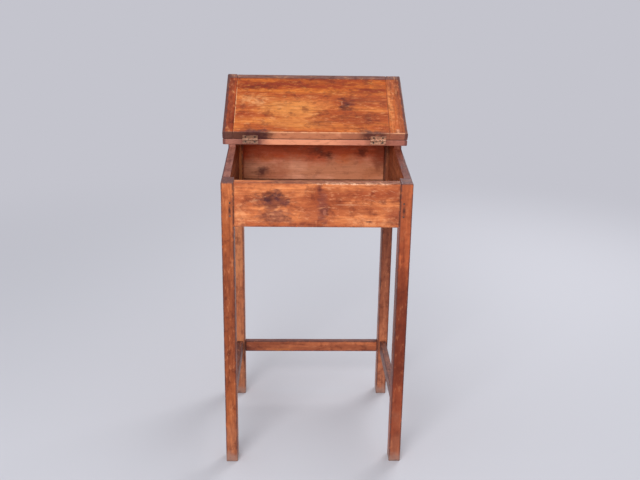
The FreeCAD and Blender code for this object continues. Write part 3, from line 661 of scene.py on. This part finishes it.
def lid_wood(name, grain, seed, pale, deep):
    """Amber varnish on one of the lid's boards, with the year rings lying flat."""
    wood = Wood(name, lid_low, lid_high, grain, seed, pin, open_turn)
    knots = [(0.084, -0.121, 0.018)] if grain == "xyz" else []
    wood.ground(pale, deep, wood.rings(-0.22, 0.04, 0.0065, knots))
    wood.below = wood.z.rise(-0.012, -0.018)
    wood.face = wood.below
    return wood


def grime(wood):
    """Dark hand grime and wear round the lid's edges, darker patches by the hinges, painted shade in
    the gap along the hinge edge and on the rounded ends, and a painted highlight on an arris of the
    hinge edge.
    """
    ragged = (wood.clouds(0.02, 4, 8.0) - 0.5) * 0.008
    reach = abs(wood.x) + ragged
    rim = wood.y + ragged * 0.6
    thick = wood.below * 0.5 + 0.45
    wood.lay((146, 66, 34), reach.rise(board_half - 0.026, board_half - 0.018) * 0.6)
    wood.lay((128, 52, 28), rim.rise(-0.2370, -0.2395) * thick * 0.8)
    wood.lay((138, 96, 86), rim.rise(-0.2400, -0.2440) * thick)
    wood.age((250, 178, 116), 0.3, 0.5)
    edge = wood.y.rise(-0.0045, -0.0020)
    drift = wood.x + ragged * 6
    wood.lay((236, 156, 116), edge * 0.9)
    wood.lay((78, 48, 46), edge * drift.rise(-0.095, -0.135) * 0.88)
    wood.lay((190, 118, 90), edge * drift.rise(0.03, 0.10) * 0.7)
    wood.lay((164, 94, 72), edge * drift.rise(0.17, 0.22) * 0.75)
    wood.shade((160, 120, 116), edge * wood.mottle.rise(0.50, 0.66) * 0.4)
    # Painted shade: a dark line along the side of the hinge edge that meets the fixed top, where the
    # gap between them is in shade.
    wood.lay((66, 34, 32), edge * wood.z.rise(-0.0026, -0.0010) * 0.9)
    # Painted highlight: a pale broken line along the worn arris between the underside and the hinge
    # edge, right of the left hinge.
    arris = wood.z.rise(-0.0200, -0.0214) * wood.y.rise(-0.0050, -0.0034)
    wood.lay((250, 186, 140), arris * drift.rise(-0.155, -0.135) * wood.broken * 0.7)
    # Painted shade of the rounded ends, with some grime: a dark band along each end of the lid.
    wood.lay((96, 60, 56),
             reach.rise(board_half - 0.010, board_half - 0.006) * (wood.broken * 0.25 + 0.65))
    for middle, side in zip(hinge_middles, (0.016, -0.012)):
        near = abs(wood.x - middle - side).rise(0.048, 0.018)
        near = near * (wood.y + ragged * 3).rise(-0.020, -0.006)
        wood.lay((84, 46, 48), near * (wood.broken * 0.5 + 0.35))


wood = lid_wood("lid_panel_finish", "xyz", 50.0, (232, 134, 60), (188, 84, 30))
wood.stain((246, 160, 80), 0.65, -0.060, -0.105, 0.120, 0.060)
wood.stain((232, 148, 74), 0.5, -0.060, -0.040, 0.120, 0.030)
wood.stain((232, 136, 68), 0.5, 0.020, -0.125, 0.050, 0.026)
wood.stain((244, 168, 108), 0.7, -0.165, -0.140, 0.055, 0.032, ragged=0.8, broken=True)
wood.stain((160, 56, 10), 0.65, 0.000, -0.214, 0.240, 0.034)
wood.stain((146, 46, 12), 0.85, -0.165, -0.207, 0.095, 0.024)
wood.stain((150, 50, 14), 0.7, -0.070, -0.214, 0.090, 0.018)
wood.stain((146, 52, 16), 0.85, 0.160, -0.188, 0.056, 0.018)
wood.stain((158, 68, 32), 0.45, 0.000, -0.236, 0.200, 0.012)
wood.stain((168, 68, 24), 0.6, -0.190, -0.070, 0.045, 0.026)
wood.stain((164, 72, 26), 0.6, 0.110, -0.060, 0.100, 0.044, ragged=0.7)
wood.stain((172, 82, 34), 0.5, 0.020, -0.040, 0.040, 0.030, ragged=0.7)
wood.stain((152, 62, 24), 0.6, 0.120, -0.140, 0.070, 0.026, ragged=0.7)
wood.stain((136, 52, 22), 0.85, 0.084, -0.125, 0.034, 0.050, ragged=1.0, soft=0.9)
wood.stain((110, 42, 26), 0.75, 0.082, -0.124, 0.020, 0.038, ragged=1.2, broken=True)
wood.stain((98, 40, 28), 0.5, 0.086, -0.120, 0.0090, 0.0180, ragged=1.0)
wood.stain((226, 148, 106), 0.7, 0.073, -0.128, 0.0030, 0.0100, ragged=0.6)
wood.face = wood.z.rise(-0.006, -0.003)
wood.stain((66, 44, 52), 0.7, 0.120, -0.205, 0.020, 0.012, ragged=0.8, broken=True)
wood.stain((74, 46, 50), 0.6, -0.060, -0.150, 0.014, 0.010, ragged=0.8, broken=True)
grime(wood)
far_band = wood.below * wood.y.rise(-0.140, -0.200) * wood.y.rise(-0.242, -0.236)
wood.shade((255, 242, 176), far_band)
wood.face = wood.y.rise(-0.0035, -0.0060)
wood.scratches((248, 188, 132), 0.45, 0.7, 1.0)
wood.scratches((96, 44, 26), 0.45, -0.5, 6.0)
wood.face = wood.below
# Painted highlight: a thin pale broken line along the panel's edge at the left joint.
wood.stain((248, 182, 134), 0.85, -0.2125, -0.13, 0.0014, 0.16, ragged=0.4, broken=True)
low = Vector((left_joint, -lid_depth, -lid_thickness))
high = Vector((right_joint[1].x, -hinge_edge, 0))
shape = sawn(block(low, high + saw_room), right_joint[0] - joint_normal * play, joint_normal)
round_free, round_end = (free_edge, 0.009, 6), (outer_end, 0.0035, 4)
board = link(worn(shape, 50.0, [(joint, 0.0006, 2), round_free]), "lid_board")
fit(seated(board), "lid", "lid_wood", wood.done(0.36), "lid_panel", place=lid_place)

proud = 0.002
wood = lid_wood("left_cleat_finish", "yxz", 53.0, (192, 86, 34), (142, 50, 16))
wood.stain((132, 46, 16), 0.6, -0.215, -0.230, 0.050, 0.020)
grime(wood)
low = Vector((-board_half, -lid_depth - proud, -lid_thickness))
high = Vector((left_joint, -hinge_edge, 0))
shape = worn(block(low, high), 53.0, [(joint, 0.0009, 2), round_free, round_end])
fit(link(shape, "left_cleat"), "lid", "cleat_wood", wood.done(), "lid_cleat_left", place=lid_place)

wood = lid_wood("right_cleat_finish", "yxz", 56.0, (234, 132, 58), (196, 92, 36))
wood.stain((170, 84, 44), 0.6, -0.215, 0.212, 0.040, 0.020, ragged=0.6)
wood.stain((250, 164, 92), 0.6, -0.11, 0.205, 0.11, 0.010, ragged=0.6, broken=True)
wood.stain((246, 176, 130), 0.8, -0.012, 0.216, 0.012, 0.008, ragged=0.6)
grime(wood)
low = Vector((right_joint[0].x, -lid_depth, -lid_thickness))
high = Vector((board_half, -hinge_edge, 0))
shape = sawn(block(low - saw_room, high), right_joint[0] + joint_normal * play, -joint_normal)
shape = worn(shape, 56.0, [(joint, 0.0006, 2), round_free, round_end])
fit(link(shape, "right_cleat"), "lid", "cleat_wood", wood.done(), "lid_cleat_right",
    place=lid_place)

# HINGES
# Two butt hinges of pressed brass, let into the edges, long tarnished: pinkish bronze where they rub,
# purple-black in the corners, with pale flecks of painted highlight.
brass = Finish("hinge_brass_finish")
brass.start((218, 164, 132))
tarnish = brass.noise(230, 230, 230, 5, 0.65)
brass.lay((84, 48, 44), tarnish.rise(0.50, 0.60) * 0.9)
# Painted highlights: pale flecks scattered over the leaves.
brass.lay((236, 200, 168), brass.noise(400, 400, 400, 3).rise(0.56, 0.66) * 0.7)
brass.lay((86, 56, 52), brass.x.rise(-0.10, -0.14) * 0.45)
brass.set(base_color=brass.colour, metallic=0.35, roughness=tarnish * 0.4 + 0.35)
brass.relief(tarnish, 0.0003, 0.5)

# SCREWS, PINS AND NAILS
# Countersunk screws in the leaves, the hinges' pins, and round nails driven flush, all of steel
# gone brown.
steel = Finish("old_steel_finish")
steel.start((104, 86, 78))
rust = steel.noise(500, 500, 500, 4, 0.6)
steel.lay((66, 40, 32), rust.rise(0.42, 0.62))
steel.set(base_color=steel.colour, metallic=0.4, roughness=rust * 0.3 + 0.5)
steel.relief(rust, 0.0002, 0.5)
for node, thing in frame["nodes"].items():
    kind = node.split("_")[-1]
    if kind in ("leaf", "pin", "nails", "fixed", "lid") and not thing.hide_render:
        thing.data.materials.clear()
        thing.data.materials.append(brass.material if kind == "leaf" else steel.material)

# STUDIO
# A plain pale floor that runs out into a backdrop of its own tone, a soft sky, a broad lamp in
# front on the left and a weaker one behind on the right.
backdrop = (196, 196, 205)
shape = bmesh.new()
bmesh.ops.create_grid(shape, x_segments=1, y_segments=1, size=40)
ground = link(shape, "studio_floor")
pale = Finish("floor_finish")
pale.start((205, 205, 212))
pale.set(base_color=pale.colour, roughness=0.9, specular_ior_level=0.2)
seen = pale.node("ShaderNodeLightPath", output="Is Camera Ray").most(
    pale.node("ShaderNodeLightPath", output="Is Glossy Ray")).most(
    pale.node("ShaderNodeLightPath", output="Is Transmission Ray"))
distance = (pale.x * pale.x + pale.y * pale.y) ** 0.5
beyond = pale.node("ShaderNodeEmission", {}, {"Color": tint(*backdrop), "Strength": 1.0})
lit = Tone(pale, pale.shader.outputs[0])
joined = pale.node("ShaderNodeMixShader", {},
                   {0: distance.rise(0.7, 3.2) * seen, 1: lit, 2: beyond})
pale.tree.links.new(joined.socket, pale.tree.nodes["Material Output"].inputs["Surface"])
ground.data.materials.append(pale.material)

sky = bpy.data.worlds.new("studio_sky")
bpy.context.scene.world = sky
sky.use_nodes = True
dome = sky.node_tree.nodes["Background"]
dome.inputs["Color"].default_value = (0.94, 0.96, 1.0, 1.0)
dome.inputs["Strength"].default_value = 0.55
rays = sky.node_tree.nodes.new("ShaderNodeLightPath")
plain = sky.node_tree.nodes.new("ShaderNodeBackground")
plain.inputs["Color"].default_value = tint(*backdrop)
either = sky.node_tree.nodes.new("ShaderNodeMixShader")
join = sky.node_tree.links.new
shown = rays.outputs["Is Camera Ray"]
for ray in ("Is Glossy Ray", "Is Transmission Ray"):
    any_ray = sky.node_tree.nodes.new("ShaderNodeMath")
    any_ray.operation = "MAXIMUM"
    join(shown, any_ray.inputs[0])
    join(rays.outputs[ray], any_ray.inputs[1])
    shown = any_ray.outputs[0]
join(shown, either.inputs[0])
join(dome.outputs[0], either.inputs[1])
join(plain.outputs[0], either.inputs[2])
join(either.outputs[0], sky.node_tree.nodes["World Output"].inputs["Surface"])


def lamp(name, spot, target, size, power):
    """A round soft lamp at a spot, turned to a target."""
    light = bpy.data.lights.new(name, "AREA")
    light.shape = "DISK"
    light.size = size
    light.energy = power
    thing = bpy.data.objects.new(name, light)
    turn = (Vector(target) - Vector(spot)).to_track_quat("-Z", "Y").to_matrix().to_4x4()
    thing.matrix_world = Matrix.Translation(spot) @ turn
    bpy.context.scene.collection.objects.link(thing)


lamp("key_lamp", (-1.0, -3.2, 2.15), (0, 0, 0.7), 2.2, 98)
lamp("back_lamp", (1.8, 2.4, 2.2), (0, 0, 0.6), 2.0, 55)

# CAMERA
# It stands where the photographer stood, a little left of the desk and looking down on it. Its
# spot, its angles and its focal length were found from the desk's own edges.
scene = bpy.context.scene
pitch, yaw, roll = (math.radians(angle) for angle in (18.0, 1.89, 0.90))
spot = (-0.05508, front - 1.91527, 1.23333)
focal_pixels, photo_width, sensor = 839.7, 640, 36
ahead = Vector((math.sin(yaw) * math.cos(pitch), math.cos(yaw) * math.cos(pitch), -math.sin(pitch)))
level = Vector((math.cos(yaw), -math.sin(yaw), 0))
upright = level.cross(ahead)
right = level * math.cos(roll) + upright * math.sin(roll)
up = upright * math.cos(roll) - level * math.sin(roll)
camera = bpy.data.objects.new("camera", bpy.data.cameras.new("camera"))
camera.data.sensor_width = sensor
camera.data.lens = focal_pixels / photo_width * sensor
turned = Matrix((right, up, -ahead)).transposed().to_4x4()
camera.matrix_world = Matrix.Translation(spot) @ turned
scene.collection.objects.link(camera)
scene.camera = camera
scene.view_settings.view_transform = "Standard"
